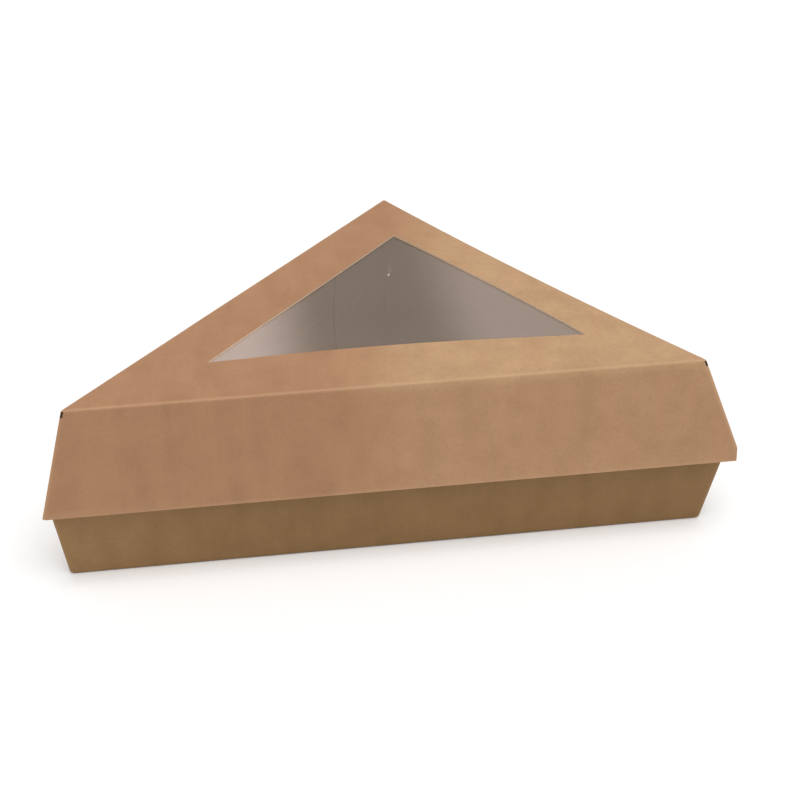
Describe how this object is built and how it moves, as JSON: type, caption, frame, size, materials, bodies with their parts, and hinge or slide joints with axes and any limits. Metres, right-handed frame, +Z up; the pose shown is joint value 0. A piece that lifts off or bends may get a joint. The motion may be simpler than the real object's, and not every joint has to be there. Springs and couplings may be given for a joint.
{
  "type": "windowed slice box",
  "caption": "Triangular kraft board slice box: a folded tray and a hinged lid that overlaps it, with a clear film window in the lid's top.",
  "frame": {"origin": "on the table, under the middle of the closed box", "axes": "+X along the long front wall to its right end, +Y from the front wall to the pointed back corner, +Z up"},
  "size_m": [0.2112, 0.1348, 0.0588],
  "materials": {
    "kraft_tray": "uncoated brown kraft board, matt, in shade under the lid",
    "kraft_lid": "uncoated brown kraft board, matt, with faint fibre mottling",
    "clear_film": "clear polyester film, glossy"
  },
  "bodies": {
    "tray": {"tray": "kraft_tray"},
    "lid": {"lid": "kraft_lid", "window_film": "clear_film"}
  },
  "joints": [
    {"name": "lid_hinge", "type": "hinge", "parent": "tray", "child": "lid", "pos_m": [-0.04532, 0.00094, 0.0243], "axis": [-0.6664, -0.7456, 0], "range_deg": [0, 135]}
  ]
}
